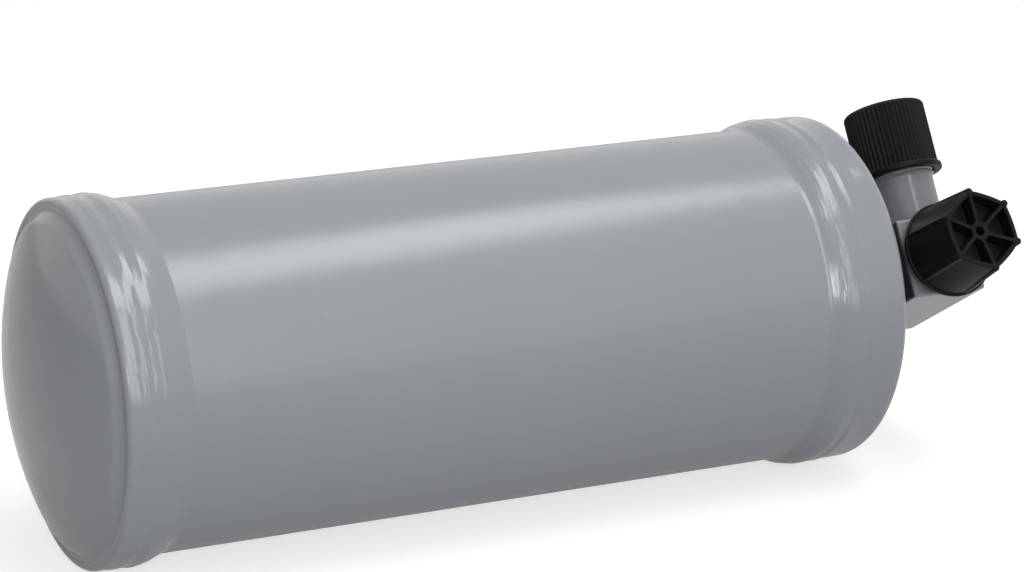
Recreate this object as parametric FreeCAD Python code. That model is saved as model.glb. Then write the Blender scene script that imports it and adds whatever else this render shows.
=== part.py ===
# Filter drier for a refrigerant line: a welded steel can that lies on its side, with a head block and two
# capped flare ports at one end.
# Millimetres. +X runs along the can from the blind end to the head, +Z is up, and the origin lies on the
# can's axis, in the middle of the bare tube, where the clamp band goes.

import FreeCAD, Part
import math
import os

from FreeCAD import Placement, Rotation, Vector

# Can tube
tube_diameter = 90.0
tube_wall = 2.0
bare_length = 176.8          # tube left bare between the two end caps
cap_lap = 15.1               # how far the tube reaches into each end cap

# End caps: pressed domes whose skirts slip over the tube and are welded to it
skirt_wall = 1.9
toe_height = 0.25            # height of the weld's toe on the tube
bead_height = 2.4            # the weld's crest over the tube, before its crown is rounded
bead_place = 7.0             # from the weld's toe to its crest
bead_width = 12.7            # from the toe to where the plain skirt starts
bead_round = 6.0
crown_radius = 100.0         # outside radius of both domes
blind_skirt = 17.7           # toe to rim, blind end
blind_rim_width = 3.1
blind_rim_round = 1.4
blind_groove = 1.1           # depth of the groove between rim and dome
blind_groove_round = 0.6
blind_dome_start = 16.2
blind_knuckle = 4.3
head_skirt = 19.7            # toe to the start of the dome, head end
head_knuckle = 4.0

# Head: the boss is welded in the dome and carries the block
head_turn = 30.0             # the head is turned about the can's axis, outlet away from upright
boss_radius = 14.5
boss_reach_in = 4.5          # how far the boss stands into the can
boss_collar_radius = 17.0
boss_collar_width = 2.6
boss_collar_chamfer = 1.0
boss_length_out = 6.6        # from the dome to the block
block_width = 23.0           # along the can
block_height = 22.0
block_front = 19.0           # from the can's axis to the inlet face
block_back = 23.0
block_edge = 0.9             # edge rounding

# Ports: turned nipples with a 45 degree flare nose, brazed in a shallow register on the block
port_thread_radius = 9.525
port_shank_radius = 8.9
port_register_radius = 6.5
port_register_depth = 1.2
port_flow_radius = 3.0
port_bore_radius = 5.35
port_bore_depth = 9.0
port_nose_base = 8.4
port_nose_height = 2.0
port_chamfer = 0.8
outlet_shank = 14.5
outlet_thread = 15.3
outlet_along = 2.1           # the outlet's axis lies this far past the middle of the block
outlet_forward = 5.0         # and this far towards the inlet face
inlet_shank = 3.0
inlet_thread = 10.5

# Screw caps
cap_thread_gap = 0.3         # radial room between a cap's bore and the port's thread
liner_thickness = 1.3
liner_gap = 0.35             # radial room round a liner in its cap
liner_room = 0.03            # between a liner's back and the roof of its cap
ribbed_wall = 1.15           # between a cap's bore and the roots of the ribs
ribbed_count = 54
rib_height = 0.42
rib_share = 0.62             # part of the pitch that a rib takes
ribbed_roof = 2.3
ribbed_top_round = 1.3
ribbed_mouth_chamfer = 1.0
ribbed_lip_proud = 0.8       # how far the lip stands out past the ribs
ribbed_lip_height = 1.7
ribbed_lip_round = 0.5
ribbed_mouth_gap = 0.8       # how far the mouth stands over the start of the thread
star_mouth_wall = 3.475      # from the bore to the outside of the mouth ring
star_ring_height = 1.3
star_ring_round = 0.4
star_shoulder_wall = 2.975   # and of the body just past the ring
star_corner_wall = 1.475     # and of the six corners at the end face
star_side_bulge = 0.45       # how far each side bows out between two corners
star_roof = 1.7
star_pocket_depth = 4.5
star_wall = 1.45
star_web = 1.15
star_hub_radius = 2.7
star_hub_hole = 1.2
star_rib_radius = 0.95
star_rib_proud = 0.35        # how far the ribs stand over the end face
star_rib_foot = 0.6          # how deep the ribs' foot is sunk in the wall
star_rib_head = 0.4          # and their head
star_dish = 1.5              # how far the webs dip to the hub
star_turn = 6.0
star_mouth_gap = 0.6

# Inside the can, from the blind end to the head
inner_gap = 0.25             # radial room of the loose inner pieces in the tube
support_ring_inset = 20.9    # from the end of the bare tube
support_ring_width = 4.0
support_ring_depth = 4.5
plate_thickness = 1.5
pad_thickness = 6.0
plate_hole_radius = 2.2
plate_rings = ((14, 0.78), (8, 0.5))     # how many holes, and on which part of the plate's radius
grommet_radius = 6.6
grommet_lip = 1.2
grommet_bite = 1.1           # how far a grommet's lips reach over the plate
spring_wire = 2.4
spring_inset = 9.75          # from the plate's edge to the middle of the spring's wire
spring_turns = 3.5
spring_seat_width = 15.75
spring_seat_thickness = 1.5
retaining_ring_wire = 1.6
retaining_ring_depth = 2.4
retaining_ring_inset = 1.9   # from the tube's end to the ring
spring_space = 27.0          # length of the spring between its plate and its seat

# Pickup tube: carries the dried liquid from the blind end to the outlet
pickup_radius = 3.0
pickup_wall = 0.7
pickup_rise = 7.2            # its height over the can's axis, along the outlet's direction
pickup_gap = 0.12
pickup_seat = 6.0            # how far it goes into the block
pickup_flow_radius = 2.2
pickup_overrun = 2.6         # how far it runs past the bare tube at the blind end
strainer_radius = 5.2
strainer_wall = 0.6
strainer_length = 16.0
strainer_hole = 1.3
strainer_rows = 3
strainer_holes = 6

# Worked-out sizes
tube_r = tube_diameter / 2
tube_bore = tube_r - tube_wall
half_bare = bare_length / 2
loose_r = tube_bore - inner_gap
pickup_end = -half_bare - pickup_overrun
same_place = 1e-6            # two places closer than this are one
cut_past = 1.0               # how far a cutting body runs past the face that it opens
axis_x = Vector(1, 0, 0)
centre = Vector(0, 0, 0)

os.makedirs("parts", exist_ok=True)


def save(name, shape):
    shape.exportStep("parts/" + name + ".step")


def line(a, b):
    return Part.LineSegment(a, b).toShape()


def arc_about(middle, radius, start, end):
    """An arc in the profile plane, from one direction to another, both in radians."""
    def at(angle):
        return middle + Vector(radius * math.cos(angle), radius * math.sin(angle), 0)
    return Part.Arc(at(start), at((start + end) / 2), at(end)).toShape()


def rounded_path(corners):
    """Straight runs through (x, y, rounding) corners, each joined by a tangent arc of its rounding."""
    points = [Vector(x, y, 0) for x, y, _ in corners]
    edges = []
    here = points[0]
    for i in range(1, len(points) - 1):
        before = (points[i - 1] - points[i]).normalize()
        after = (points[i + 1] - points[i]).normalize()
        radius = corners[i][2]
        turn = math.pi - before.getAngle(after)
        if radius == 0 or turn < same_place:
            edges.append(line(here, points[i]))
            here = points[i]
            continue
        back = radius * math.tan(turn / 2)
        start = points[i] + before * back
        end = points[i] + after * back
        inward = (before + after).normalize()
        middle = points[i] + inward * (radius / math.cos(turn / 2) - radius)
        edges.append(line(here, start))
        edges.append(Part.Arc(start, middle, end).toShape())
        here = end
    edges.append(line(here, points[-1]))
    return edges


def revolve(edges, about=axis_x):
    """A solid of revolution from a closed profile."""
    wire = Part.Wire(Part.__sortEdges__(edges))
    return Part.Face(wire).revolve(centre, about, 360)


def turned(corners):
    """A turned piece along +Z, from a closed profile of (radius, height, rounding) corners."""
    loop = [*corners, corners[0]]
    solid = revolve(rounded_path(loop), Vector(0, 1, 0))
    solid.rotate(centre, Vector(1, 0, 0), 90)
    return solid


def drilled(place, radius, start, end):
    """A cylinder along X, with its axis at this place across the can, as (y, z)."""
    return Part.makeCylinder(radius, end - start, Vector(start, *place), axis_x)


def dome_edges(x_start, radius, knuckle, crown):
    """Knuckle arc and crown arc of a pressed dome, from its edge to the axis, and the x of its top."""
    knuckle_centre = Vector(x_start, radius - knuckle, 0)
    crown_x = x_start - math.sqrt((crown - knuckle) ** 2 - (radius - knuckle) ** 2)
    joint = math.atan2(radius - knuckle, x_start - crown_x)
    edges = [
        arc_about(knuckle_centre, knuckle, math.pi / 2, joint),
        arc_about(Vector(crown_x, 0, 0), crown, joint, 0.0),
    ]
    return edges, crown_x + crown


# The skirt's outside, from the weld's toe: the same on both end caps
skirt_r = tube_r + skirt_wall
bead = [
    (0.0, tube_r, 0),
    (0.0, tube_r + toe_height, 0),
    (bead_place, tube_r + bead_height, bead_round),
    (bead_width, skirt_r, bead_round),
]


def can_tube():
    half = half_bare + cap_lap
    outer = Part.makeCylinder(tube_r, 2 * half, Vector(-half, 0, 0), axis_x)
    return outer.cut(Part.makeCylinder(tube_bore, 2 * half, Vector(-half, 0, 0), axis_x))


def blind_end_cap():
    """Its rim stands round the dome, with a groove between them."""
    rim_inner = skirt_r - blind_rim_width
    dome_r = rim_inner - blind_groove / 2
    outside = rounded_path([
        *bead,
        (blind_skirt, skirt_r, blind_rim_round),
        (blind_skirt, rim_inner, blind_groove_round),
        (blind_skirt - blind_groove, dome_r, 0),
        (blind_dome_start, dome_r, 0),
    ])
    dome, top = dome_edges(blind_dome_start, dome_r, blind_knuckle, crown_radius)
    inner_r = dome_r - tube_wall
    inside, inner_top = dome_edges(
        blind_dome_start, inner_r, blind_knuckle - tube_wall, crown_radius - tube_wall)
    back = [
        line(Vector(blind_dome_start, inner_r, 0), Vector(cap_lap, inner_r, 0)),
        line(Vector(cap_lap, inner_r, 0), Vector(cap_lap, tube_r, 0)),
        line(Vector(cap_lap, tube_r, 0), Vector(0, tube_r, 0)),
    ]
    close = line(Vector(top, 0, 0), Vector(inner_top, 0, 0))
    cap = revolve([*outside, *dome, close, *inside, *back])
    cap.translate(Vector(half_bare, 0, 0))
    cap.rotate(centre, Vector(0, 0, 1), 180)
    return cap


def head_end_cap_blank():
    """The head's dome before its hole is cut, and the x of its top."""
    outside = rounded_path([*bead, (head_skirt, skirt_r, 0)])
    dome, top = dome_edges(head_skirt, skirt_r, head_knuckle, crown_radius)
    inside, inner_top = dome_edges(
        head_skirt, tube_r, head_knuckle - skirt_wall, crown_radius - skirt_wall)
    close = line(Vector(top, 0, 0), Vector(inner_top, 0, 0))
    back = line(Vector(head_skirt, tube_r, 0), Vector(0, tube_r, 0))
    cap = revolve([*outside, *dome, close, *inside, back])
    cap.translate(Vector(half_bare, 0, 0))
    return cap, half_bare + top


head_blank, dome_top = head_end_cap_blank()
hole_x = dome_top - crown_radius + math.sqrt(crown_radius ** 2 - boss_radius ** 2)
block_x = dome_top + boss_length_out
block_middle = block_x + block_width / 2
outlet_x = block_middle + outlet_along
pickup_place = (-outlet_forward, pickup_rise)
return_place = (block_front / 2 - outlet_forward / 2, 0.0)


def moved(shape, place, turn):
    """The shape turned about X by this angle and then moved to this place."""
    shape.Placement = Placement(place, Rotation(axis_x, turn)).multiply(shape.Placement)
    return shape


def on_head(shape):
    """From the head's own frame, with the outlet upright and the inlet towards -Y, to the part's frame."""
    return moved(shape, centre, -head_turn)


def on_outlet(shape, height=0.0):
    """From a frame along +Z to the outlet's axis, this far over the block's top face."""
    place = Vector(outlet_x, -outlet_forward, block_height / 2 + height)
    return on_head(moved(shape, place, 0))


def on_inlet(shape, height=0.0):
    """From a frame along +Z to the inlet's axis, this far in front of the block's front face."""
    place = Vector(block_middle, -block_front - height, 0)
    return on_head(moved(shape, place, 90))


def head_end_cap():
    hole = Part.makeCylinder(boss_radius, 2 * crown_radius, Vector(half_bare, 0, 0), axis_x)
    return head_blank.cut(hole)


def head_boss():
    """A turned boss: a shank through the dome, a collar that the weld joins, and two drillings."""
    start = hole_x - boss_reach_in
    boss = Part.makeCylinder(boss_radius, block_x - start, Vector(start, 0, 0), axis_x)
    collar = Part.makeCylinder(
        boss_collar_radius, boss_collar_width, Vector(hole_x, 0, 0), axis_x)
    collar = collar.makeChamfer(boss_collar_chamfer, [
        edge for edge in collar.Edges
        if edge.Length > 1 and abs(edge.BoundBox.XMin - hole_x - boss_collar_width) < same_place
        and edge.BoundBox.XLength < same_place])
    boss = boss.fuse(collar)
    boss = boss.cut(drilled(pickup_place, pickup_radius + pickup_gap, start, block_x))
    return on_head(boss.cut(drilled(return_place, port_flow_radius, start, block_x)).removeSplitter())


def head_block():
    """A bar with a drilled way from each port to the boss."""
    block = Part.makeBox(
        block_width, block_front + block_back, block_height,
        Vector(block_x, -block_front, -block_height / 2))
    block = block.makeFillet(block_edge, block.Edges)
    up = Vector(0, 0, 1)
    forward = Vector(0, -1, 0)
    outlet_base = Vector(outlet_x, -outlet_forward, pickup_rise - pickup_flow_radius)
    outlet_top = block_height / 2
    inlet_base = Vector(block_middle, return_place[0], 0)
    ways = [
        Part.makeCylinder(port_flow_radius, outlet_top - outlet_base.z, outlet_base, up),
        Part.makeCylinder(
            port_register_radius, port_register_depth,
            Vector(outlet_x, -outlet_forward, outlet_top - port_register_depth), up),
        Part.makeCylinder(port_flow_radius, block_front + inlet_base.y, inlet_base, forward),
        Part.makeCylinder(
            port_register_radius, port_register_depth,
            Vector(block_middle, -block_front + port_register_depth, 0), forward),
        drilled(pickup_place, pickup_radius + pickup_gap, block_x, block_x + pickup_seat),
        drilled(pickup_place, pickup_flow_radius, block_x, outlet_x),
        drilled(return_place, port_flow_radius, block_x, block_middle),
    ]
    for way in ways:
        block = block.cut(way)
    return on_head(block)


def flare_port(shank, thread):
    """A nipple from its register up to its flare nose, bored from the nose."""
    top = shank + thread + port_nose_height
    nose_top = port_nose_base - port_nose_height
    return turned([
        (port_flow_radius, -port_register_depth, 0),
        (port_register_radius, -port_register_depth, 0),
        (port_register_radius, 0, 0),
        (port_shank_radius, 0, 0),
        (port_shank_radius, shank - (port_thread_radius - port_shank_radius), 0),
        (port_thread_radius, shank, 0),
        (port_thread_radius, shank + thread - port_chamfer, 0),
        (port_thread_radius - port_chamfer, shank + thread, 0),
        (port_nose_base, shank + thread, 0),
        (nose_top, top, 0),
        (port_bore_radius, top, 0),
        (port_bore_radius, top - port_bore_depth, 0),
        (port_flow_radius, top - port_bore_depth - (port_bore_radius - port_flow_radius) / 2, 0),
    ])


cap_bore = port_thread_radius + cap_thread_gap
ribbed_radius = cap_bore + ribbed_wall + rib_height
ribbed_lip_radius = ribbed_radius + ribbed_lip_proud
star_mouth_radius = cap_bore + star_mouth_wall
star_shoulder = cap_bore + star_shoulder_wall
star_corner_radius = cap_bore + star_corner_wall
outlet_top = outlet_shank + outlet_thread + port_nose_height
inlet_top = inlet_shank + inlet_thread + port_nose_height
ribbed_mouth = outlet_shank + ribbed_mouth_gap
ribbed_height = outlet_top + liner_thickness + liner_room + ribbed_roof - ribbed_mouth
star_mouth = inlet_shank + star_mouth_gap
star_inside = inlet_top + liner_thickness + liner_room - star_mouth
star_height = star_inside + star_roof + star_pocket_depth


def cap_liner():
    return Part.makeCylinder(cap_bore - liner_gap, liner_thickness)


def ribbed_section():
    """One closed outline: a root circle with a rounded rib at each step."""
    root = ribbed_radius - rib_height
    step = 2 * math.pi / ribbed_count
    half_rib = step * rib_share / 2

    def at(radius, angle):
        return Vector(radius * math.cos(angle), radius * math.sin(angle), 0)

    edges = []
    for i in range(ribbed_count):
        middle = i * step
        start = at(root, middle - half_rib)
        end = at(root, middle + half_rib)
        edges.append(Part.Arc(start, at(ribbed_radius, middle), end).toShape())
        edges.append(line(end, at(root, middle + step - half_rib)))
    return Part.Face(Part.Wire(edges))


def ribbed_cap():
    """Fine ribs run from the mouth's lip into the rounded top edge."""
    body = ribbed_section().extrude(Vector(0, 0, ribbed_height))
    envelope = turned([
        (0, 0, 0),
        (ribbed_radius + ribbed_mouth_chamfer, 0, 0),
        (ribbed_radius, ribbed_mouth_chamfer, 0),
        (ribbed_radius, ribbed_height, ribbed_top_round),
        (0, ribbed_height, 0),
    ])
    lip = turned([
        (0, 0, 0),
        (ribbed_lip_radius, 0, ribbed_lip_round),
        (ribbed_lip_radius, ribbed_lip_height, ribbed_lip_round),
        (0, ribbed_lip_height, 0),
    ])
    inside = Part.makeCylinder(cap_bore, ribbed_height - ribbed_roof)
    return body.common(envelope).fuse(lip).cut(inside)


def hexagon(corner, bulge, height):
    """A six-sided wire with bowed sides, its corners on a circle of radius corner."""
    edges = []
    side = corner * math.cos(math.pi / 6)
    for i in range(6):
        start = math.pi / 2 + i * math.pi / 3
        end = start + math.pi / 3
        middle = (start + end) / 2
        a, b = [Vector(corner * math.cos(t), corner * math.sin(t), height) for t in (start, end)]
        bow = side + bulge
        top = Vector(bow * math.cos(middle), bow * math.sin(middle), height)
        edges.append(Part.Arc(a, top, b).toShape())
    return Part.Wire(edges)


def round_six(radius, height):
    """A circle cut into the same six arcs, so that it lofts to a hexagon without a twist."""
    return hexagon(radius, radius * (1 - math.cos(math.pi / 6)), height)


def star_cap():
    """Round at its mouth and six-sided at its end face, where webs run from a hub to six ribs."""
    ring = turned([
        (0, 0, 0),
        (star_mouth_radius, 0, star_ring_round),
        (star_mouth_radius, star_ring_height, star_ring_round),
        (0, star_ring_height, 0),
    ])
    body = Part.makeLoft([
        round_six(star_shoulder, star_ring_height / 2),
        hexagon(star_corner_radius, star_side_bulge, star_height),
    ], True, True)
    cap = ring.fuse(body)
    pocket_floor = star_height - star_pocket_depth
    pocket = Part.Face(hexagon(star_corner_radius - star_wall, star_side_bulge, pocket_floor))
    pocket = pocket.extrude(Vector(0, 0, star_pocket_depth + cut_past))
    pocket = pocket.cut(Part.makeCylinder(
        star_hub_radius, star_pocket_depth + 2 * cut_past, Vector(0, 0, pocket_floor - cut_past)))
    for i in range(3):
        web = Part.makeBox(
            star_web, 2 * star_mouth_radius, star_pocket_depth + 2 * cut_past,
            Vector(-star_web / 2, -star_mouth_radius, pocket_floor - cut_past))
        web.rotate(centre, Vector(0, 0, 1), 60 * i)
        pocket = pocket.cut(web)
    cap = cap.cut(pocket)
    dish = Part.makeCone(
        0, star_corner_radius - star_wall, star_dish, Vector(0, 0, star_height - star_dish))
    cap = cap.cut(dish)
    hole = Part.makeCylinder(star_hub_hole, star_pocket_depth, Vector(0, 0, pocket_floor))
    cap = cap.cut(hole)
    rib_start = star_ring_height
    foot_r = star_shoulder - star_rib_foot
    head_r = star_corner_radius - star_rib_head
    for i in range(6):
        angle = math.pi / 2 + i * math.pi / 3
        way = Vector(math.cos(angle), math.sin(angle), 0)
        foot = way * foot_r + Vector(0, 0, rib_start)
        head = way * head_r + Vector(0, 0, star_height + star_rib_proud)
        rib = Part.makeCylinder(star_rib_radius, (head - foot).Length, foot, head - foot)
        cap = cap.fuse(rib)
    inside = Part.makeCylinder(cap_bore, star_inside)
    cap = cap.cut(inside)
    cap.rotate(centre, Vector(0, 0, 1), star_turn)
    return cap


# Places along the can of what lies inside it
support_ring_x = -half_bare + support_ring_inset
lower_plate_x = support_ring_x + support_ring_width
lower_pad_x = lower_plate_x + plate_thickness
bed_x = lower_pad_x + pad_thickness
retaining_x = half_bare + cap_lap - retaining_ring_inset - retaining_ring_wire
spring_seat_x = retaining_x - spring_seat_thickness
spring_x = spring_seat_x - spring_space
upper_plate_x = spring_x - plate_thickness
upper_pad_x = upper_plate_x - pad_thickness
bed_length = upper_pad_x - bed_x
spring_radius = loose_r - spring_inset


def inner_disc(x, thickness, hole):
    """A disc across the can with a hole that the pickup tube passes."""
    disc = Part.makeCylinder(loose_r, thickness, Vector(x, 0, 0), axis_x)
    return disc.cut(drilled(pickup_place, hole, x, x + thickness))


def perforated_plate(x):
    plate = inner_disc(x, plate_thickness, grommet_radius - grommet_bite)
    for count, share in plate_rings:
        radius = share * loose_r
        for i in range(count):
            angle = 2 * math.pi * (i + 0.5) / count
            place = (radius * math.cos(angle), radius * math.sin(angle))
            plate = plate.cut(drilled(place, plate_hole_radius, x, x + plate_thickness))
    return on_head(plate)


def plate_grommet(x, pad_side):
    """A rubber bush in the plate's hole, flush with the pad's side and with a lip on the other."""
    neck = grommet_radius - grommet_bite
    lip_x = x + plate_thickness if pad_side < 0 else x - grommet_lip
    body = drilled(pickup_place, neck, x, x + plate_thickness)
    body = body.fuse(drilled(pickup_place, grommet_radius, lip_x, lip_x + grommet_lip))
    hole = drilled(pickup_place, pickup_radius, x - grommet_lip, x + plate_thickness + grommet_lip)
    return on_head(body.cut(hole))


def bed_spring():
    """A wide coil spring between the upper plate and its seat."""
    wire_r = spring_wire / 2
    length = spring_space - spring_wire
    helix = Part.makeHelix(length / spring_turns, length, spring_radius)
    section = Part.Wire(Part.Circle(
        Vector(spring_radius, 0, 0), Vector(0, 1, 0), wire_r).toShape())
    coil = Part.Wire(helix).makePipeShell([section], True, True)
    coil.rotate(centre, Vector(0, 1, 0), 90)
    coil.translate(Vector(spring_x + wire_r, 0, 0))
    return coil


def ring(x, width, inner, outer):
    """A plain ring about the can's axis."""
    solid = Part.makeCylinder(outer, width, Vector(x, 0, 0), axis_x)
    return solid.cut(Part.makeCylinder(inner, width, Vector(x, 0, 0), axis_x))


def pickup_tube():
    start = pickup_end
    end = block_x + pickup_seat
    tube = drilled(pickup_place, pickup_radius, start, end)
    return on_head(tube.cut(drilled(pickup_place, pickup_radius - pickup_wall, start, end)))


def pickup_strainer():
    """A drilled cup pushed over the end of the pickup tube."""
    grip = strainer_length / 3
    start = pickup_end - strainer_length + grip
    cup = drilled(pickup_place, strainer_radius, start, start + strainer_length)
    room = drilled(
        pickup_place, strainer_radius - strainer_wall,
        start + strainer_wall, pickup_end)
    neck = drilled(pickup_place, pickup_radius, pickup_end, start + strainer_length)
    cup = cup.cut(room).cut(neck)
    pitch = (pickup_end - start) / (strainer_rows + 1)
    for row in range(strainer_rows):
        for i in range(strainer_holes // 2):
            hole = Part.makeCylinder(
                strainer_hole, 2 * strainer_radius, Vector(0, 0, -strainer_radius))
            hole.rotate(centre, axis_x, 360 * (i + 0.5 * (row % 2)) / strainer_holes)
            hole.translate(Vector(start + (row + 1) * pitch, pickup_place[0], pickup_place[1]))
            cup = cup.cut(hole)
    return on_head(cup)


save("can_tube", can_tube())
save("blind_end_cap", blind_end_cap())
save("head_end_cap", head_end_cap())
save("head_boss", head_boss())
save("head_block", head_block())
save("outlet_port", on_outlet(flare_port(outlet_shank, outlet_thread)))
save("inlet_port", on_inlet(flare_port(inlet_shank, inlet_thread)))
save("ribbed_cap", on_outlet(ribbed_cap(), ribbed_mouth))
save("ribbed_cap_liner", on_outlet(cap_liner(), outlet_top))
save("star_cap", on_inlet(star_cap(), star_mouth))
save("star_cap_liner", on_inlet(cap_liner(), inlet_top))
save("pickup_tube", pickup_tube())
save("pickup_strainer", pickup_strainer())
save("support_ring", ring(
    support_ring_x, support_ring_width, tube_bore - support_ring_depth, tube_bore))
save("lower_plate", perforated_plate(lower_plate_x))
save("lower_grommet", plate_grommet(lower_plate_x, 1))
save("lower_felt_pad", on_head(inner_disc(lower_pad_x, pad_thickness, pickup_radius + pickup_gap)))
save("desiccant_bed", on_head(inner_disc(bed_x, bed_length, pickup_radius + pickup_gap)))
save("upper_felt_pad", on_head(inner_disc(upper_pad_x, pad_thickness, pickup_radius + pickup_gap)))
save("upper_plate", perforated_plate(upper_plate_x))
save("upper_grommet", plate_grommet(upper_plate_x, -1))
save("bed_spring", bed_spring())
save("spring_seat", ring(
    spring_seat_x, spring_seat_thickness, loose_r - spring_seat_width, loose_r))
save("retaining_ring", ring(
    retaining_x, retaining_ring_wire, tube_bore - retaining_ring_depth, tube_bore))
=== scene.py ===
"""A grey filter drier on its side: welded can, head block and two capped flare ports."""

import math

import bmesh
import bpy
from mathutils import Matrix, Vector


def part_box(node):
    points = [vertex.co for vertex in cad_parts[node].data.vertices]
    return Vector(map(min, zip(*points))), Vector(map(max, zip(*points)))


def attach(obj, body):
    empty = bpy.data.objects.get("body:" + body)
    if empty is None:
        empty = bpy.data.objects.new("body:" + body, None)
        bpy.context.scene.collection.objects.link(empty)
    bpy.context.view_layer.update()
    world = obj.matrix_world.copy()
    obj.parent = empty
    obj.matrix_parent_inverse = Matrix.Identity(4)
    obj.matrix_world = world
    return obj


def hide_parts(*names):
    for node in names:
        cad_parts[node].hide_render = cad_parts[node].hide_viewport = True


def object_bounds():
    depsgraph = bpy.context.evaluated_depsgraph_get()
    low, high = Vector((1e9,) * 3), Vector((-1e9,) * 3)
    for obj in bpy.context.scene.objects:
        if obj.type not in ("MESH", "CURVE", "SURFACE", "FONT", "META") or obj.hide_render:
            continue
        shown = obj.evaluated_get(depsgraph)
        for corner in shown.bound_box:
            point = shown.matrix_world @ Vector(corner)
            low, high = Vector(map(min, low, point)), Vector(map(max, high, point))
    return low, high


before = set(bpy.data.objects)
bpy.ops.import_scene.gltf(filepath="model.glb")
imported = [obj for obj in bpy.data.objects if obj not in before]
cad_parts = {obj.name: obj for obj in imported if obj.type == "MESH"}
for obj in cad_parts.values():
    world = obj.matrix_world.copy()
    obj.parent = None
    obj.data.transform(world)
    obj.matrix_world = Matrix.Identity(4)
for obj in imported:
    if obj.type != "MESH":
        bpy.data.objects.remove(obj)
cad_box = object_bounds()


# The stage: a pale sheet under the can, white to the camera except where the can's soft shadow
# falls. A long panel hangs over the can, a tall one stands in front and reaches down to the sheet,
# and two weak ones fill in from the left, one of them behind a grid.

class Socket:
    """One output of a shader node, with the arithmetic that adds its Math nodes."""

    def __init__(self, tree, output):
        self.tree = tree
        self.output = output

    def math(self, operation, *others, clamp=False):
        settings = {"operation": operation, "use_clamp": clamp}
        return self.tree.node("ShaderNodeMath", settings, self, *others)

    def __add__(self, other):
        return self.math("ADD", other)

    __radd__ = __add__

    def __mul__(self, other):
        return self.math("MULTIPLY", other)

    __rmul__ = __mul__

    def __sub__(self, other):
        return self.math("SUBTRACT", other)

    def __rsub__(self, other):
        return self.tree.node("ShaderNodeMath", {"operation": "SUBTRACT"}, other, self)

    def clamped(self):
        return self.math("ADD", 0.0, clamp=True)

    def named(self, name):
        """Another output of the same node, by its name or number."""
        return Socket(self.tree, self.output.node.outputs[name])


class Finish:
    """The node tree of a material or of the world, with one method that adds any node."""

    def __init__(self, owner):
        owner.use_nodes = True
        self.tree = owner.node_tree
        self.tree.nodes.clear()

    def node(self, kind, settings=None, *inputs, **named):
        made = self.tree.nodes.new(kind)
        for key, value in (settings or {}).items():
            setattr(made, key, value)
        pairs = list(enumerate(inputs)) + [(key.replace("_", " "), v) for key, v in named.items()]
        for key, value in pairs:
            if isinstance(value, Socket):
                self.tree.links.new(value.output, made.inputs[key])
            elif value is not None:
                made.inputs[key].default_value = value
        return Socket(self, made.outputs[0]) if made.outputs else made

    def mix(self, factor, a, b):
        """Mix two colours: a where factor is 0, b where it is 1."""
        number_inputs = (None,) * 5
        colour_output = 2
        mixed = self.node("ShaderNodeMix", {"data_type": "RGBA"}, factor, *number_inputs, a, b)
        return mixed.named(colour_output)

    def place(self):
        return self.node("ShaderNodeTexCoord").named("Object")

    def along(self, axis):
        return self.node("ShaderNodeSeparateXYZ", None, self.place()).named(axis)

    def noise(self, scale, detail=2.0, roughness=0.5, vector=None):
        return self.node(
            "ShaderNodeTexNoise", None, vector or self.place(),
            Scale=scale, Detail=detail, Roughness=roughness)

    def step(self, value, low, high):
        """0 where value is under low, 1 over high, and smooth between."""
        return self.node(
            "ShaderNodeMapRange", {"interpolation_type": "SMOOTHSTEP"},
            value, low, high, 0.0, 1.0)

    def bump(self, height, strength, distance, normal=None):
        return self.node(
            "ShaderNodeBump", None,
            Strength=strength, Distance=distance, Height=height, Normal=normal)

    def surface(self, **named):
        shader = self.node("ShaderNodeBsdfPrincipled", None, **named)
        self.node("ShaderNodeOutputMaterial", None, shader)


def srgb(red, green, blue):
    """A colour from its 0 to 255 display values."""
    shares = [value / 255 for value in (red, green, blue)]
    linear = [s / 12.92 if s < 11 / 255 else ((s + 0.055) / 1.055) ** 2.4 for s in shares]
    return (*linear, 1.0)


def stage_floor(height, own_light=0.68, mirrored_light=0.3, half_width=8.0):
    """A wide flat sheet. Most of what the camera sees of it is its own light, so the shadow stays
    pale."""
    sheet = bpy.data.materials.new("pale sheet")
    finish = Finish(sheet)
    rays = finish.node("ShaderNodeLightPath")
    straight = rays.named("Is Camera Ray") + rays.named("Is Transmission Ray")
    seen = own_light * straight + mirrored_light * rays.named("Is Glossy Ray")
    lit = finish.node("ShaderNodeBsdfDiffuse", None, Color=(0.55, 0.55, 0.56, 1.0))
    glow = finish.node("ShaderNodeEmission", None, Color=(1, 1, 1, 1), Strength=seen)
    both = finish.node("ShaderNodeAddShader", None, lit, glow)
    finish.node("ShaderNodeOutputMaterial", None, both)
    mesh = bpy.data.meshes.new("floor")
    bm = bmesh.new()
    bmesh.ops.create_grid(bm, x_segments=2, y_segments=2, size=half_width)
    bmesh.ops.translate(bm, vec=(0, 0, height), verts=bm.verts)
    bm.to_mesh(mesh)
    bm.free()
    mesh.materials.append(sheet)
    floor = bpy.data.objects.new("floor", mesh)
    bpy.context.collection.objects.link(floor)


def studio_walls(white_light=1.0, dim_light=0.33):
    """White behind the can and in what shines, and a third as bright for the light they give."""
    world = bpy.data.worlds.new("studio")
    bpy.context.scene.world = world
    finish = Finish(world)
    rays = finish.node("ShaderNodeLightPath")
    straight = rays.named("Is Camera Ray") + rays.named("Is Glossy Ray")
    seen = (straight + rays.named("Is Transmission Ray")).clamped()
    dim = finish.node("ShaderNodeBackground", None, Color=(1, 1, 1, 1), Strength=dim_light)
    white = finish.node("ShaderNodeBackground", None, Color=(1, 1, 1, 1), Strength=white_light)
    either = finish.node("ShaderNodeMixShader", None, seen, dim, white)
    finish.node("ShaderNodeOutputWorld", None, either)


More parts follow.
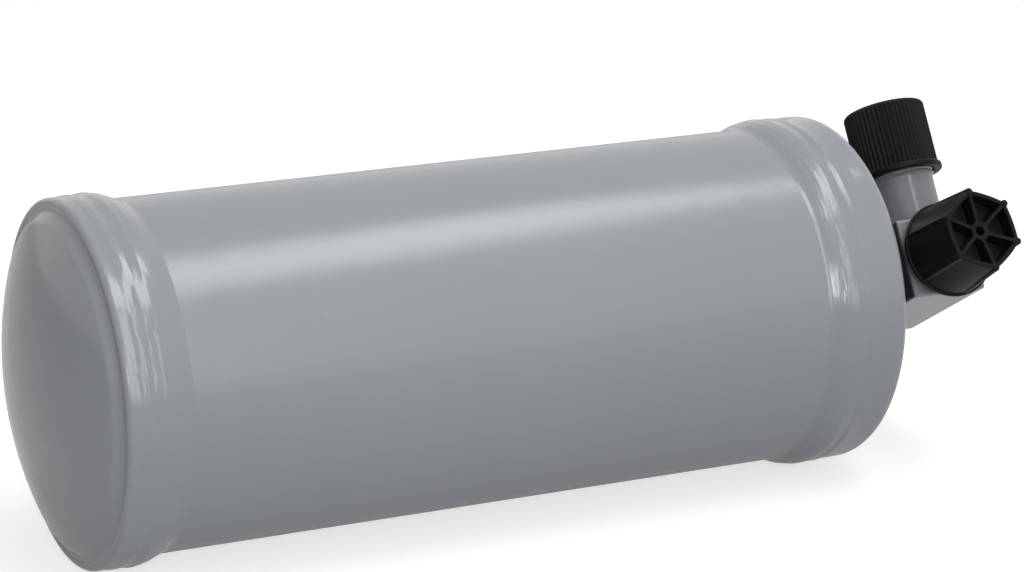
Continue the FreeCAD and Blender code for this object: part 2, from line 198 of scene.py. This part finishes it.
def panel(name, place, aim, along, width, height, power, spread=180):
    """A frosted light panel that faces a point, with its width laid along a direction. A grid in
    front of it may narrow its spread, in degrees."""
    lamp = bpy.data.lights.new(name, "AREA")
    lamp.spread = math.radians(spread)
    lamp.shape = "RECTANGLE"
    lamp.size = width
    lamp.size_y = height
    lamp.energy = power
    made = bpy.data.objects.new(name, lamp)
    bpy.context.collection.objects.link(made)
    out = (Vector(place) - Vector(aim)).normalized()
    across = (Vector(along) - out * out.dot(Vector(along))).normalized()
    turned = Matrix((across, out.cross(across), out)).transposed()
    made.matrix_world = Matrix.Translation(place) @ turned.to_4x4()


stage_floor(cad_box[0][2])
studio_walls()
middle, sideways = (0, 0, 0), (1, 0, 0)
fill_place = (-0.5, -1.2, 0.4)
panel(
    "overhead", (0.324, -0.287, 1.2), middle, (0.63, 0.777, 0),
    width=1.15, height=0.32, power=6.9)
panel("tall front", (0.22, -1.2, 0.75), (0, 0, 0.35), sideways, width=0.17, height=1.4, power=3.5)
panel("left fill", fill_place, middle, sideways, width=0.6, height=0.6, power=0.5)
panel(
    "left fill with a grid", fill_place, (-0.14, 0, 0), sideways,
    width=0.6, height=0.6, power=0.285, spread=24)


# The camera stands left of the blind end and a little above, and looks past the middle of the can.
# The lens comes from how fast the can's two sides run together in the picture.

focal_pixels = 3536.0
picture_pixels = 1024.0
camera_place = Vector((-0.37484, -0.80693, 0.25402))
camera_view = Vector((0.4223, 0.8678, -0.2614))

lens = bpy.data.cameras.new("camera")
lens.sensor_width = 36.0
lens.lens = lens.sensor_width * focal_pixels / picture_pixels
camera = bpy.data.objects.new("camera", lens)
camera.location = camera_place
camera.rotation_euler = camera_view.to_track_quat("-Z", "Y").to_euler()
bpy.context.collection.objects.link(camera)
bpy.context.scene.camera = camera
bpy.context.scene.view_settings.view_transform = "Standard"


# The tube of the can: drawn steel, sprayed grey with the rest after welding. Every turned piece
# from here on is a rounded outline, in millimetres, swept round its own axis and put in its place.

def swung(arm, swing):
    """A flat arm turned by an angle."""
    return Vector((
        arm.x * math.cos(swing) - arm.y * math.sin(swing),
        arm.x * math.sin(swing) + arm.y * math.cos(swing)))


def rounded(corners, arc_step=7.0):
    """Points through (radius, height, rounding) corners, with an arc of short chords at each."""
    flat = [Vector(corner[:2]) for corner in corners]
    points = [flat[0]]
    for before, here, after, corner in zip(flat, flat[1:], flat[2:], corners[1:]):
        back, on = (before - here).normalized(), (after - here).normalized()
        turn = math.pi - back.angle(on)
        rounding = corner[2]
        if not rounding or turn < 0.01:
            points.append(here)
            continue
        reach = rounding * math.tan(turn / 2)
        middle = here + (back + on).normalized() * rounding / math.cos(turn / 2)
        start = here + back * reach - middle
        steps = max(2, math.ceil(math.degrees(turn) / arc_step))
        side = 1 if start.y * back.x > start.x * back.y else -1
        for i in range(steps + 1):
            swing = side * turn * i / steps
            points.append(middle + swung(start, swing))
    points.append(flat[-1])
    return points


def arc_points(middle, start, turn, arc_step=2.0):
    """Points that carry an outline on round a middle, from start through a turn in radians."""
    arm = Vector(start) - Vector(middle)
    steps = max(2, math.ceil(abs(math.degrees(turn)) / arc_step))
    return [Vector(middle) + swung(arm, turn * i / steps) for i in range(1, steps + 1)]


def closer(points, longest):
    """The same outline with its long straight runs cut into shorter ones."""
    made = [points[0]]
    for start, end in zip(points, points[1:]):
        steps = max(1, math.ceil((end - start).length / longest))
        made += [start.lerp(end, i / steps) for i in range(1, steps + 1)]
    return made


def lathe(points, around=256, shape=None):
    """Sweeps an outline round Z. shape(radius, height, angle) may move each point."""
    bm = bmesh.new()
    rows = len(points)
    grid = bmesh.ops.create_grid(bm, x_segments=around, y_segments=rows - 1, size=1)["verts"]
    for vert in grid:
        angle = math.pi * (vert.co.x + 1)
        radius, height = points[round((vert.co.y + 1) / 2 * (rows - 1))]
        if shape:
            radius, height, angle = shape(radius, height, angle)
        vert.co = (radius * math.cos(angle), radius * math.sin(angle), height)
    bmesh.ops.remove_doubles(bm, verts=bm.verts, dist=1e-4)
    bmesh.ops.recalc_face_normals(bm, faces=bm.faces)
    return bm


def finished(bm, name, body, place, materials, node, sharp=30.0):
    """Puts a bmesh in its place as a smooth-shaded piece that rides on a body, takes the given
    materials and stands for a CAD node, which it hides."""
    mesh = bpy.data.meshes.new(name)
    bm.transform(place @ Matrix.Scale(0.001, 4))
    bm.to_mesh(mesh)
    bm.free()
    mesh.shade_smooth()
    mesh.set_sharp_from_angle(angle=math.radians(sharp))
    for material in materials:
        mesh.materials.append(material)
    piece = bpy.data.objects.new(name, mesh)
    bpy.context.collection.objects.link(piece)
    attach(piece, body)
    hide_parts(node)


def millimetres(node):
    """The two corners of a CAD node's box, in millimetres."""
    low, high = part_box(node)
    return low * 1000, high * 1000


def paint_finish(name, peel=1.0, painted_shade_factor=1.0, rough=0.21, weld=None):
    """Sprayed grey: faint orange peel and a slight drift in tone. A weld zone (start, end) along X
    ripples. A factor under 1 darkens the grey as painted shade."""
    material = bpy.data.materials.new(name)
    finish = Finish(material)
    drift = finish.noise(16.0, 4.0, 0.6)
    speck = finish.step(finish.noise(420.0, 2.0, 0.5), 0.70, 0.76)
    darker, lighter = (
        srgb(*(level * painted_shade_factor for level in grey)) for grey in ((143, 147, 151), (151, 155, 160)))
    tone = finish.mix(drift, darker, lighter)
    colour = finish.mix(speck * 0.10, tone, srgb(118, 121, 126))
    skin = finish.bump(finish.noise(1100.0, 1.0, 0.4), 0.10 * peel, 0.0002)
    skin = finish.bump(finish.noise(140.0, 2.0, 0.5), 0.16 * peel, 0.0009, skin)
    if weld:
        start, end = weld
        far = finish.along("X").math("ABSOLUTE")
        begun = finish.step(far, start, start + 0.002)
        zone = begun * (1.0 - finish.step(far, end - 0.004, end))
        along_bead = (420.0, 90.0, 90.0)
        stretched = finish.node("ShaderNodeMapping", None, finish.place(), Scale=along_bead)
        ripple = finish.noise(1.0, 3.0, 0.5, stretched)
        skin = finish.bump(ripple * zone, 0.22, 0.0012, skin)
    finish.surface(Base_Color=colour, Roughness=rough + 0.08 * drift, Normal=skin)
    return material


tube_low, tube_high = millimetres("can_tube")
tube_r = tube_high.z
tube_wall = 2.0
bare_half = -millimetres("blind_end_cap")[1].x
can_paint = paint_finish("can paint")
along_x = Matrix.Rotation(math.radians(90), 4, "Y")

tube = lathe([
    Vector((tube_r, tube_low.x)), Vector((tube_r, tube_high.x)),
    Vector((tube_r - tube_wall, tube_high.x)), Vector((tube_r - tube_wall, tube_low.x)),
    Vector((tube_r, tube_low.x))])
finished(tube, "can_tube_painted", "can", along_x, [can_paint], "can_tube")


# The end caps: pressed domes whose skirts slip over the tube. A broad weld closes each mouth, and
# its bead swells the skirt. The blind cap keeps a rim round a shallow groove, and the other takes
# the head's boss.

skirt_wall = 1.9
skirt_r = tube_r + skirt_wall
crown_radius = 100.0
boss_radius = 14.5
tube_stop = 15.1
weld_width = 0.0165
cap_paint = paint_finish(
    "end cap paint", rough=0.12, weld=((bare_half + 1) / 1000, bare_half / 1000 + weld_width))
bead = [
    (tube_r, 0.0, 0), (tube_r + 0.02, 0.0, 0), (tube_r + 0.22, 0.9, 1.5), (tube_r + 1.8, 4.9, 4.0),
    (tube_r + 2.32, 7.7, 2.5), (tube_r + 1.92, 10.4, 2.0), (tube_r + 2.16, 11.9, 1.6),
    (skirt_r, 14.2, 3.0)]


def end_cap(rim, dome_r, dome_start, knuckle, hole_r, lead=0.0):
    """The outline runs from the weld's toe over the skirt and the dome, and back inside at an even
    wall. The dome starts this lead angle up its knuckle, and closes on the axis or at a hole."""
    knuckle_r = dome_r - knuckle
    foot = Vector((knuckle_r + knuckle * math.cos(lead), dome_start + knuckle * math.sin(lead)))
    outside = rounded([*bead, *rim, (*foot, 0)])
    crown_x = dome_start - math.sqrt((crown_radius - knuckle) ** 2 - knuckle_r ** 2)
    slope = math.atan2(dome_start - crown_x, knuckle_r)
    reach = math.asin(hole_r / crown_radius)

    def dome(start, turn):
        edge = arc_points((knuckle_r, dome_start), start, turn)
        return edge + arc_points((0, crown_x), edge[-1], math.pi / 2 - slope - reach, 1.0)

    inner_r = dome_r - skirt_wall
    inner_start = Vector((inner_r, dome_start))
    inside = [inner_start, *dome(inner_start, slope)]
    back = [Vector((inner_r, tube_stop)), Vector((tube_r, tube_stop)), Vector((tube_r, 0))]
    outline = [*outside, *dome(foot, slope - lead), *reversed(inside), *back]
    return lathe(outline)


blind_rim = [(skirt_r, 17.75, 1.5), (45.2, 17.75, 1.5), (43.8, 17.4, 1.6)]
blind = end_cap(
    blind_rim, dome_r=43.25, dome_start=16.2, knuckle=4.3, hole_r=0.0, lead=math.radians(50))
against_x = Matrix.Rotation(math.radians(-90), 4, "Y")
blind_place = Matrix.Translation((-bare_half / 1000, 0, 0)) @ against_x
finished(
    blind, "blind_end_cap_painted", "can", blind_place, [cap_paint], "blind_end_cap")

head = end_cap([], dome_r=skirt_r, dome_start=19.7, knuckle=4.0, hole_r=boss_radius)
head_place = Matrix.Translation((bare_half / 1000, 0, 0)) @ along_x
finished(
    head, "head_end_cap_painted", "can", head_place, [cap_paint], "head_end_cap")


# The head: a boss welded in the dome and a block of bar steel, turned so that the outlet leans back
# and the inlet points to the front. The block's face that looks at the dome is coloured dark as
# painted shade, for the shade in the narrow gap between block and dome.

head_turn = math.radians(-30)
block_x = millimetres("head_block")[0].x / 1000


def block_finish(name):
    material = bpy.data.materials.new(name)
    finish = Finish(material)
    drift = finish.noise(30.0, 3.0, 0.6)
    tone = finish.mix(drift, srgb(140, 143, 147), srgb(150, 153, 157))
    # Painted shade: the face towards the dome is coloured dark grey and made rougher.
    uneven = finish.along("X") + drift * 0.0012
    dome_face_painted_shade = 1.0 - finish.step(uneven, block_x + 0.0005, block_x + 0.0016)
    colour = finish.mix(dome_face_painted_shade, tone, srgb(46, 47, 50))
    skin = finish.bump(finish.noise(160.0, 2.0, 0.5), 0.2, 0.0008)
    finish.surface(Base_Color=colour, Roughness=0.26 + 0.25 * dome_face_painted_shade, Normal=skin)
    return material


def dress(node, material):
    """Gives a CAD node a finish and leaves its mesh alone."""
    slots = bpy.data.objects[node].data.materials
    slots.clear()
    slots.append(material)


block_paint = block_finish("block paint")
dress("head_block", block_paint)
dress("head_boss", block_paint)


# The ports: turned nipples with a 45 degree flare nose, brazed to the block. The thread was masked
# by the cap when the can was sprayed, so it keeps its zinc.

# Painted shade: the ports' grey is dimmed below the can's, so the shanks look shaded.
port_paint = paint_finish("port paint", peel=1.6, painted_shade_factor=0.83, rough=0.12)
thread_r = 9.525
thread_pitch = 25.4 / 16
thread_depth = 0.61 * thread_pitch
thread_runout = 1.2
thread_chamfer = 0.8
masked_from = 1.8
shank_r = 8.9
braze_fillet = 1.3
nose_height = 2.0
flare_bore, narrow_bore = 5.35, 3.0
outlet_shank, outlet_thread = 14.5, 15.3
inlet_shank, inlet_thread = 3.0, 10.5
outlet_x, inlet_x = (
    sum(corner.x for corner in millimetres(node)) / 2 for node in ("outlet_port", "inlet_port"))


def zinc_finish(name, tone):
    """Plated steel: cloudy grey metal with a faint grain."""
    material = bpy.data.materials.new(name)
    finish = Finish(material)
    cloud = finish.noise(160.0, 4.0, 0.65)
    colour = finish.mix(cloud, srgb(*(v - 22 for v in tone)), srgb(*tone))
    skin = finish.bump(finish.noise(2400.0, 2.0, 0.6), 0.12, 0.0001)
    finish.surface(Base_Color=colour, Metallic=1.0, Roughness=0.34 + 0.22 * cloud, Normal=skin)
    return material


zinc = zinc_finish("zinc plating", (190, 191, 188))


def flare_port(name, shank, thread, node, place):
    """A nipple from its braze fillet up to its flare nose, with a cut thread."""
    top = shank + thread + nose_height

    def cut(radius, height, angle):
        """One groove a pitch, with a flat crest and root, that fades in at the shank."""
        if radius < thread_r - 0.01 or not shank <= height <= shank + thread:
            return radius, height, angle
        phase = (height / thread_pitch - angle / math.tau) % 1
        flank = (0.875 - abs(2 * phase - 1)) / 0.625
        fade = min(1.0, (height - shank) / thread_runout)
        return radius - thread_depth * fade * min(1.0, max(0.0, flank)), height, angle

    outline = rounded([
        (6.0, 0.0, 0), (shank_r + braze_fillet, 0.0, 0), (shank_r, braze_fillet, braze_fillet),
        (shank_r, shank - 0.6, 0), (thread_r, shank, 0)])
    thread_end = shank + thread - thread_chamfer
    screw = closer([Vector((thread_r, shank)), Vector((thread_r, thread_end))], thread_pitch / 12)
    nose = rounded([
        (thread_r, thread_end, 0), (8.7, shank + thread, 0.2), (8.4, shank + thread, 0),
        (6.4, top, 0.25), (flare_bore, top, 0.3), (flare_bore, top - 9.0, 0),
        (narrow_bore, top - 10.2, 0), (narrow_bore, 0, 0), (6.0, 0, 0)])
    bm = lathe([*outline, *screw[1:], *nose[1:]], 128, cut)
    for face in bm.faces:
        face.material_index = int(face.calc_center_median().z > shank + masked_from)
    finished(bm, name, "can", place, [port_paint, zinc], node)


head_frame = Matrix.Rotation(head_turn, 4, "X")
outlet_frame = head_frame @ Matrix.Translation((outlet_x / 1000, -0.005, 0.011))
inlet_seat = Matrix.Translation((inlet_x / 1000, -0.019, 0))
inlet_frame = head_frame @ inlet_seat @ Matrix.Rotation(math.radians(90), 4, "X")
flare_port("outlet_port_turned", outlet_shank, outlet_thread, "outlet_port", outlet_frame)
flare_port("inlet_port_turned", inlet_shank, inlet_thread, "inlet_port", inlet_frame)


# The ribbed cap: black polyethylene, moulded with fine ribs that die out in the rounded top edge
# and a plain lip at the mouth. A rubber disc inside seals on the flare nose.

def plastic_finish(name, tone, rough):
    material = bpy.data.materials.new(name)
    finish = Finish(material)
    cloud = finish.noise(90.0, 3.0, 0.6)
    colour = finish.mix(cloud, srgb(*tone), srgb(*(v + 7 for v in tone)))
    skin = finish.bump(finish.noise(2600.0, 2.0, 0.6), 0.22, 0.0001)
    finish.surface(
        Base_Color=colour, Roughness=rough + 0.12 * cloud, Normal=skin, Specular_IOR_Level=0.12)
    return material


ribbed_black = plastic_finish("ribbed cap black", (14, 15, 16), 0.36)
star_black = plastic_finish("star cap black", (17, 18, 19), 0.30)
rubber = plastic_finish("liner rubber", (34, 33, 32), 0.6)
ribbed_count = 54
rib_height = 0.42
rib_share = 0.62
cap_bore = 9.825
ribbed_r = 11.395
ribbed_mouth = 15.3
ribbed_height = 35.43 - ribbed_mouth
ribbed_roof = 2.3
end_recess = 0.35
lip_r = ribbed_r + 0.8
ribs_from = 1.75
rib_fade = 1.5


def ribbed_cap():
    root = ribbed_r - rib_height

    def ribs(radius, height, angle):
        if radius < root - rib_fade or height < ribs_from:
            return radius, height, angle
        phase = (angle * ribbed_count / math.tau) % 1
        across = abs(2 * phase - 1) / rib_share
        crest = max(0.0, 1 - across * across)
        fade = min(1.0, (radius - root + rib_fade) / rib_fade)
        return radius - rib_height * (1 - crest) * fade, height, angle

    roof = ribbed_height - ribbed_roof
    recess = ribbed_height - end_recess
    inside = [Vector((0, roof)), Vector((cap_bore, roof))]
    mouth = rounded([
        (cap_bore, roof, 0), (cap_bore, 0.5, 0), (cap_bore + 0.5, 0, 0.2), (lip_r, 0, 0.5),
        (lip_r, 1.7, 0.5), (ribbed_r, 1.8, 0.1), (ribbed_r, ribbed_height, 1.3),
        (8.2, ribbed_height, 0.3), (7.9, recess, 0.3), (0, recess, 0)])
    bm = lathe([*inside, *mouth[1:]], ribbed_count * 10, ribs)
    place = outlet_frame @ Matrix.Translation((0, 0, ribbed_mouth / 1000))
    finished(
        bm, "ribbed_cap_moulded", "ribbed_cap", place, [ribbed_black], "ribbed_cap",
        sharp=50)


ribbed_cap()
dress("ribbed_cap_liner", rubber)


# The star cap: black, round at its mouth and six-sided at its end, where webs run from a hub to six
# ribs. It is moulded in one piece, so ribs, webs and pockets run into each other with small rounds.

star_mouth = 3.6
star_shoulder = 12.8
star_ring = 1.3
star_ring_r = 13.3
star_corner = 11.3
star_bulge = 0.45
star_height = 19.43
star_inside = 13.23
pocket_floor = 14.93
star_wall = 1.45
star_dish = 1.5
web_half = 0.575
hub_r = 2.7
hub_hole = 1.2
star_rib = 0.95
rib_foot_r, rib_head_r = 12.2, 10.9
rib_proud = 0.35
rib_blend = 0.16
lift_height = 2.7
star_round = 0.3
first_rib = math.radians(90 + 6)
half_side = math.pi / 6
wall_edge, web_edge, hub_edge = (0.25, 0.1), (0.12, 0.45), (0.1, 0.35)
hole_edge, rib_edge = (0.12, 0.12), (0.12, 0.05)


def rise(value, low, high):
    """0 under low, 1 over high, and a smooth step between."""
    t = min(1.0, max(0.0, (value - low) / (high - low)))
    return t * t * (3 - 2 * t)


def past(value, line, edge):
    """0 before a line and 1 past it, over a moulded edge that reaches this far to each side."""
    return rise(value, line - edge[0], line + edge[1])


def from_rib(angle):
    """The signed angle from the nearest of the six ribs."""
    return (angle - first_rib + half_side) % (2 * half_side) - half_side


def hexagon_r(corner, turn):
    """The radius of a six-sided outline with bowed sides, at this angle from a corner."""
    middle = corner * math.cos(half_side) + star_bulge
    bow_r = corner ** 2 / 8 / star_bulge + star_bulge / 2
    off = half_side - abs(turn)
    reach = middle - bow_r
    return reach * math.cos(off) + math.sqrt(bow_r ** 2 - (reach * math.sin(off)) ** 2)


def star_side(height, turn):
    """The outside radius of the star cap: a round mouth that turns six-sided, and the ribs on its
    corners."""
    share = (height - star_ring / 2) / (star_height - star_ring / 2)
    wall = star_shoulder + (hexagon_r(star_corner, turn) - star_shoulder) * share
    up = height - star_ring
    centre_r = rib_foot_r + (rib_head_r - rib_foot_r) * up / (star_height - star_ring)
    beside = centre_r * math.sin(turn)
    if abs(beside) >= star_rib:
        return wall
    rib = centre_r * math.cos(turn) + math.sqrt(star_rib ** 2 - beside ** 2)
    share = min(1.0, max(0.0, 0.5 + (rib - wall) / rib_blend / 2))
    return wall + (rib - wall) * share + rib_blend * share * (1 - share)


def star_end(radius, turn):
    """The height of the star cap's end face: a dished hub and webs, and pockets between them."""
    beside = radius * math.sin(abs(turn))
    rib_gap = beside
    if radius <= rib_head_r:
        rib_gap = math.hypot(radius * math.cos(turn) - rib_head_r, beside)
    lift = rib_proud * (1 - past(rib_gap, star_rib, rib_edge))
    inner = hexagon_r(star_corner - star_wall, turn)
    ridge = star_height - star_dish * max(0.0, 1 - radius / inner) + lift
    within_wall = 1 - past(radius, inner, wall_edge)
    pocket = within_wall * past(beside, web_half, web_edge) * past(radius, hub_r, hub_edge)
    hole = 1 - past(radius, hub_hole, hole_edge)
    return ridge + (pocket_floor - ridge) * max(pocket, hole)


def beside_web(radius, turn):
    """The angle from a rib at which a grid line runs when it keeps along the web instead of to the
    axis."""
    near = math.radians(5.5)
    reach = max(radius, hub_r)
    if abs(turn) < near:
        return math.copysign(math.asin(star_corner * math.sin(abs(turn)) / reach), turn)
    edge = math.asin(star_corner * math.sin(near) / reach)
    rest = half_side - near
    return math.copysign(edge + (abs(turn) - near) * (half_side - edge) / rest, turn)


def star_cap():
    def body(radius, height, angle):
        """The bore stays round, the side turns six-sided, and the end takes webs and pockets."""
        turn = from_rib(angle)
        if height <= star_ring or (radius < cap_bore + 0.01 and height < star_height):
            return radius, height, angle
        edge = star_side(star_height, turn)
        lift = star_end(edge, turn) - star_height
        if height < star_height:
            top = star_height - star_round
            lifted = height + lift * rise(height, top - lift_height, top)
            return star_side(height, turn), lifted, angle
        share = radius / star_shoulder
        radius = share * (star_corner + (edge - star_corner) * rise(share, 0.35, 0.8))
        over = max(0.0, star_round - (edge - radius))
        bent = turn + (beside_web(radius, turn) - turn) * (1 - rise(radius, 8.6, 9.9))
        round_over = math.sqrt(max(0.0, star_round ** 2 - over ** 2))
        height = star_end(radius, bent) - star_round + round_over
        return radius, height, angle + bent - turn

    mouth = rounded([
        (cap_bore, star_inside, 0), (cap_bore, 0.4, 0), (cap_bore + 0.4, 0, 0.2),
        (star_ring_r, 0, 0.4), (star_ring_r, star_ring, 0.4), (star_shoulder, star_ring, 0)])
    side = closer([
        Vector((star_shoulder, star_ring)), Vector((star_shoulder, star_height - star_round))], 0.7)
    stops = [1.0, 0.997, 0.991, 0.984, 0.976]
    for first, step, count in ((0.965, 0.01, 21), (0.755, 0.0165, 32), (0.227, 0.011, 14)):
        stops += [first - step * i for i in range(count)]
    stops += [0.05, 0.0]
    end = [Vector((star_shoulder * stop, star_height)) for stop in stops]
    bm = lathe([Vector((0, star_inside)), *mouth, *side[1:], *end], 660, body)
    place = inlet_frame @ Matrix.Translation((0, 0, star_mouth / 1000))
    finished(
        bm, "star_cap_moulded", "star_cap", place, [star_black], "star_cap",
        sharp=60)


star_cap()
dress("star_cap_liner", rubber)


# Inside the can, from the blind end on: a strainer on the pickup tube, the bed of drying beads
# between felt pads and perforated plates, and the spring that keeps the bed pressed.

def cloth_finish(name):
    """Needled felt: soft fibres in all directions."""
    material = bpy.data.materials.new(name)
    finish = Finish(material)
    fibres = finish.noise(1500.0, 6.0, 0.75)
    colour = finish.mix(fibres, srgb(196, 190, 176), srgb(228, 223, 210))
    finish.surface(Base_Color=colour, Roughness=0.95, Normal=finish.bump(fibres, 0.6, 0.0006))
    return material


def bead_finish(name):
    """Packed drying beads of about 2 mm, each a round grain."""
    material = bpy.data.materials.new(name)
    finish = Finish(material)
    grains = finish.node("ShaderNodeTexVoronoi", {"feature": "F1"}, finish.place(), Scale=480.0)
    tone = finish.mix(grains.named("Color"), srgb(205, 196, 178), srgb(224, 217, 203))
    # Painted shade: the gaps between the grains are darkened, for the shade between packed beads.
    painted_gap_shade = finish.step(grains, 0.35, 0.8)
    colour = finish.mix(painted_gap_shade, tone, srgb(120, 110, 96))
    finish.surface(Base_Color=colour, Roughness=0.75, Normal=finish.bump(1.0 - grains, 0.8, 0.0012))
    return material


felt = cloth_finish("felt")
beads = bead_finish("drying beads")
spring_steel = zinc_finish("spring steel", (150, 148, 145))
drawn_steel = zinc_finish("drawn steel tube", (178, 178, 176))
for material, nodes in (
        (drawn_steel, ("pickup_tube",)),
        (zinc, ("pickup_strainer", "support_ring", "lower_plate", "upper_plate", "spring_seat")),
        (rubber, ("lower_grommet", "upper_grommet")),
        (felt, ("lower_felt_pad", "upper_felt_pad")),
        (beads, ("desiccant_bed",)),
        (spring_steel, ("bed_spring", "retaining_ring"))):
    for node in nodes:
        dress(node, material)
